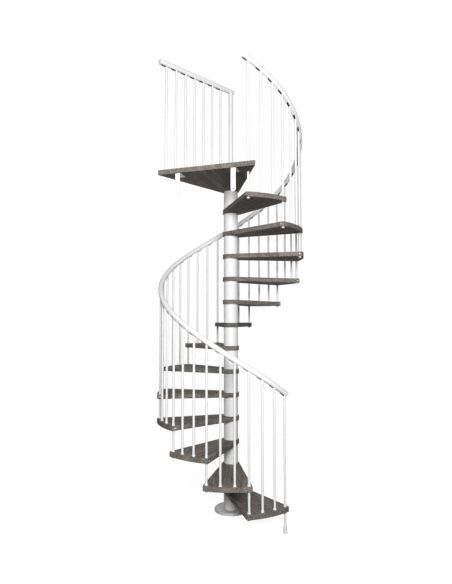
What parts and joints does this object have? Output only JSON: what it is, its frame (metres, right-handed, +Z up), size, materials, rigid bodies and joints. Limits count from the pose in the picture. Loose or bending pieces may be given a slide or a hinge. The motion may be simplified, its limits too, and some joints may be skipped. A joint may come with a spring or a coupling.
{
  "type": "spiral staircase",
  "caption": "Kit spiral staircase with wedge wood treads and a triangular landing threaded on a white sleeved column, white round balusters and a helical handrail.",
  "frame": {"origin": "centre of the base plate's underside, on the column's axis", "axes": "+Z up the column, -Y square out of the landing's straight edge"},
  "size_m": [1.3998, 1.4424, 4.0725],
  "materials": {
    "wood": "dark oiled beech, open grain",
    "white_steel": "white powder coat",
    "plate_steel": "grey primed plate",
    "cover_white": "white powder coat",
    "white_plastic": "white moulded plastic",
    "rail_white": "white extruded rail",
    "black_plastic": "black moulded plastic"
  },
  "bodies": {
    "root": {"baluster_first": "white_steel", "balusters_01": "white_steel", "balusters_02": "white_steel", "balusters_03": "white_steel", "balusters_04": "white_steel", "balusters_05": "white_steel", "balusters_06": "white_steel", "balusters_07": "white_steel", "balusters_08": "white_steel", "balusters_09": "white_steel", "balusters_10": "white_steel", "balusters_11": "white_steel", "balusters_12": "white_steel", "balusters_13": "white_steel", "base_cover": "cover_white", "base_plate": "plate_steel", "centre_pole": "white_steel", "column_sleeves": "white_steel", "corner_caps": "white_plastic", "corner_collars": "white_plastic", "floor_socket": "white_plastic", "handrail": "rail_white", "handrail_caps": "rail_white", "handrail_clips": "black_plastic", "landing": "wood", "landing_balusters": "white_steel", "landing_bracket_left": "white_steel", "landing_bracket_right": "white_steel", "landing_clips": "black_plastic", "landing_handrail": "rail_white", "landing_handrail_caps": "rail_white", "post_collar": "white_steel", "tread_01": "wood", "tread_02": "wood", "tread_03": "wood", "tread_04": "wood", "tread_05": "wood", "tread_06": "wood", "tread_07": "wood", "tread_08": "wood", "tread_09": "wood", "tread_10": "wood", "tread_11": "wood", "tread_12": "wood", "tread_13": "wood"}
  },
  "joints": []
}
